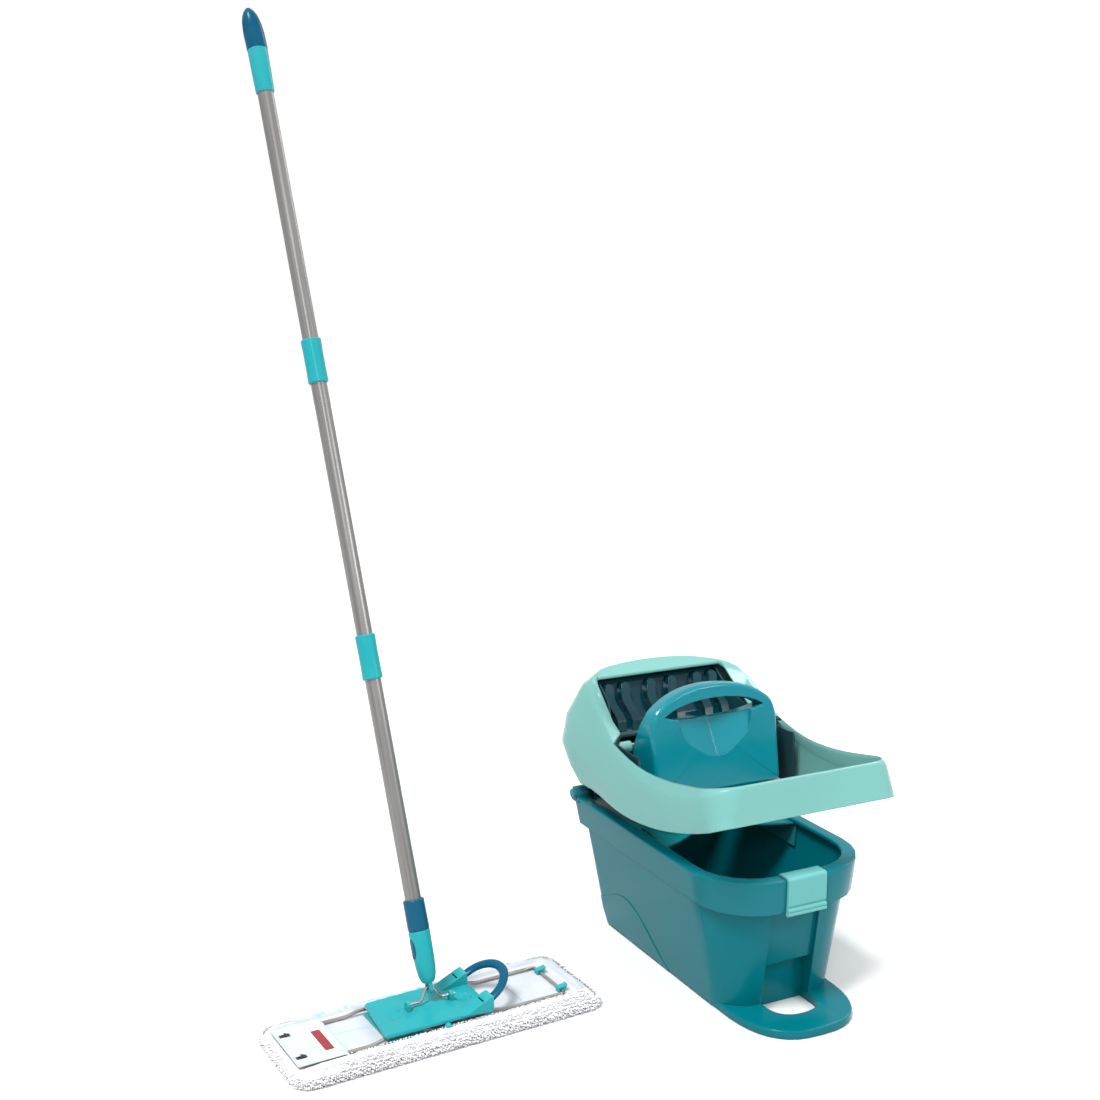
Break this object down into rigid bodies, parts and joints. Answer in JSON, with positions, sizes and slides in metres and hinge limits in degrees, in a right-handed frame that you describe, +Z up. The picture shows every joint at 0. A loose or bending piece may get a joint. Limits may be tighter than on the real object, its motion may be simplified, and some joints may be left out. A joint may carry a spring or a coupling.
{
  "type": "flat mop and press bucket set",
  "caption": "Flat click mop with a folding wire head and looped cloth cover, standing beside a foot-plate bucket with a hinged lever press.",
  "frame": {"origin": "on the floor under the centre of the set's bounding box", "axes": "+Z up along the handle's length, the bucket's front and foot plate face -Y, the mop stands on the -X side"},
  "size_m": [0.8248, 0.6704, 1.35],
  "materials": {
    "tub_teal": "glossy moulded polypropylene",
    "tray_teal": "satin moulded plastic",
    "press_mint": "glossy moulded plastic",
    "latch_mint": "glossy moulded plastic",
    "chassis_teal": "satin moulded plastic",
    "lever_teal": "glossy moulded plastic",
    "jaw_teal": "matte moulded plastic",
    "turquoise": "satin moulded plastic",
    "navy": "satin moulded plastic",
    "tube_metal": "drawn satin tube",
    "pin_steel": "bright steel pin",
    "wire_steel": "plated bent wire",
    "screw_steel": "zinc plated",
    "cover_cloth": "looped microfibre",
    "pocket_cloth": "woven polyester",
    "label_cloth": "plain woven label"
  },
  "bodies": {
    "bucket": {"tub": "tub_teal", "drain_tray": "tray_teal", "hinge_pin_near": "tub_teal", "hinge_pin_far": "tub_teal", "latch_pin": "pin_steel"},
    "latch": {"front_latch": "latch_mint"},
    "press_frame": {"press_shell": "press_mint", "press_chassis": "chassis_teal", "press_axle": "pin_steel", "axle_boss_near": "press_mint", "axle_boss_far": "press_mint", "chassis_screw_rear_near": "screw_steel", "chassis_screw_front_near": "screw_steel", "chassis_screw_rear_far": "screw_steel", "chassis_screw_front_far": "screw_steel"},
    "press_lever": {"press_lever": "lever_teal", "squeeze_plate": "jaw_teal"},
    "mop_head": {"centre_plate": "turquoise", "lock_rod": "pin_steel", "lock_knob": "turquoise"},
    "foot_ring": {"foot_ring": "navy"},
    "left_wing": {"left_wing_wire": "wire_steel", "left_wing_leaf": "turquoise", "left_hook_back": "turquoise", "left_hook_front": "turquoise", "cover_left": "cover_cloth", "left_pocket_panel": "pocket_cloth", "sewn_label": "label_cloth"},
    "right_wing": {"right_wing_wire": "wire_steel", "right_wing_leaf": "turquoise", "right_hook_back": "turquoise", "right_hook_front": "turquoise", "cover_right": "cover_cloth"},
    "bail": {"bail_wire": "wire_steel"},
    "handle": {"joint_socket": "turquoise", "click_collar": "navy", "button_spring": "pin_steel", "lower_tube": "tube_metal", "lower_connector": "turquoise", "lower_thread_plug": "navy", "middle_tube": "tube_metal", "upper_connector": "turquoise", "upper_thread_plug": "navy", "upper_tube": "tube_metal", "grip_sleeve": "turquoise", "grip_cap": "navy"},
    "click_button": {"click_button": "navy"}
  },
  "joints": [
    {"name": "press_frame_hinge", "type": "hinge", "parent": "bucket", "child": "press_frame", "pos_m": [0.26143, 0.12578, 0.208], "axis": [-1, 0, 0], "range_deg": [-10.3, 50]},
    {"name": "press_lever_pivot", "type": "hinge", "parent": "press_frame", "child": "press_lever", "pos_m": [0.26143, -0.00249, 0.31699], "axis": [-1, 0, 0], "range_deg": [0, 22]},
    {"name": "latch_hinge", "type": "hinge", "parent": "bucket", "child": "latch", "pos_m": [0.26143, -0.28972, 0.157], "axis": [1, 0, 0], "range_deg": [0, 75]},
    {"name": "mop_lift", "type": "slide", "parent": "bucket", "child": "mop_head", "axis": [0, 0, 1], "range_m": [0, 0.5]},
    {"name": "left_wing_fold", "type": "hinge", "parent": "mop_head", "child": "left_wing", "pos_m": [-0.20693, -0.073, 0.016], "axis": [0.0583, -0.9983, 0], "range_deg": [0, 88]},
    {"name": "right_wing_fold", "type": "hinge", "parent": "mop_head", "child": "right_wing", "pos_m": [-0.17299, -0.07102, 0.016], "axis": [-0.0583, 0.9983, 0], "range_deg": [0, 88]},
    {"name": "foot_ring_press", "type": "hinge", "parent": "mop_head", "child": "foot_ring", "pos_m": [-0.1357, -0.07485, 0.0348], "axis": [-0.0583, 0.9983, 0], "range_deg": [0, 9], "stiffness_Nm_per_rad": 1.5, "springref_deg": -2.86},
    {"name": "bail_tilt", "type": "hinge", "parent": "mop_head", "child": "bail", "pos_m": [-0.19111, -0.07808, 0.038], "axis": [0.9983, 0.0583, 0], "range_deg": [-55, 80]},
    {"name": "handle_side_tilt", "type": "hinge", "parent": "bail", "child": "handle", "pos_m": [-0.1914, -0.07301, 0.05422], "axis": [-0.0556, 0.9526, -0.299], "range_deg": [-16, 22]},
    {"name": "click_button_press", "type": "slide", "parent": "handle", "child": "click_button", "axis": [0.9966, 0.0712, 0.0416], "range_m": [0, 0.0025], "stiffness_N_per_m": 400, "springref_m": -0.002, "deforming": ["button_spring"]}
  ]
}
